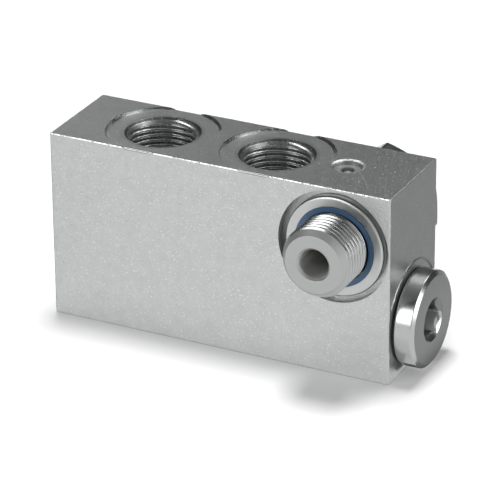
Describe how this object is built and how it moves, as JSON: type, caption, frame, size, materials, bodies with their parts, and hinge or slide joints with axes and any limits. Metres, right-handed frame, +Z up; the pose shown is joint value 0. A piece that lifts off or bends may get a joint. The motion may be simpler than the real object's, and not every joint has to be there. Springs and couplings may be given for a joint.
{
  "type": "pilot operated non-return valve",
  "caption": "Steel block valve for hydraulic lines with threaded ports on top and left end, a hollow bolt with bonded washers across it, and a screw plug in the right end.",
  "frame": {"origin": "centre of the block's bottom face", "axes": "+X along the block towards the end plug, +Y across it towards the hollow bolt's head, +Z up to the face with the two ports"},
  "size_m": [0.0902, 0.0427, 0.0455],
  "materials": {
    "zinc_plated_block": "satin zinc plate on milled steel",
    "zinc_plated_fitting": "bright zinc plate on turned steel",
    "hardened_steel": "ground",
    "spring_steel": "drawn wire",
    "blue_rubber": "moulded",
    "black_rubber": "moulded",
    "white_ptfe": "machined"
  },
  "bodies": {
    "block": {"valve_body": "zinc_plated_block", "end_plug": "zinc_plated_fitting", "end_plug_seal": "black_rubber", "hollow_bolt": "zinc_plated_fitting", "front_washer_ring": "zinc_plated_fitting", "front_washer_lip": "blue_rubber", "rear_washer_ring": "zinc_plated_fitting", "rear_washer_lip": "blue_rubber", "gallery_plug_sleeve": "hardened_steel", "gallery_plug_ball": "hardened_steel", "valve_seat": "hardened_steel", "seat_o_ring": "black_rubber", "seat_backup_ring": "white_ptfe", "poppet_spring": "spring_steel"},
    "pilot_piston": {"pilot_piston": "hardened_steel", "piston_o_ring": "black_rubber", "piston_backup_ring": "white_ptfe"},
    "poppet": {"poppet": "hardened_steel"}
  },
  "joints": [
    {"name": "piston_stroke", "type": "slide", "parent": "block", "child": "pilot_piston", "axis": [1, 0, 0], "range_m": [0, 0.0025]},
    {"name": "poppet_lift", "type": "slide", "parent": "block", "child": "poppet", "axis": [1, 0, 0], "range_m": [0, 0.0025], "stiffness_N_per_m": 1400, "springref_m": -0.0025, "deforming": ["poppet_spring"]}
  ],
  "couplings": [
    {"joint": "poppet_lift", "follows": "piston_stroke", "ratio": 1}
  ]
}
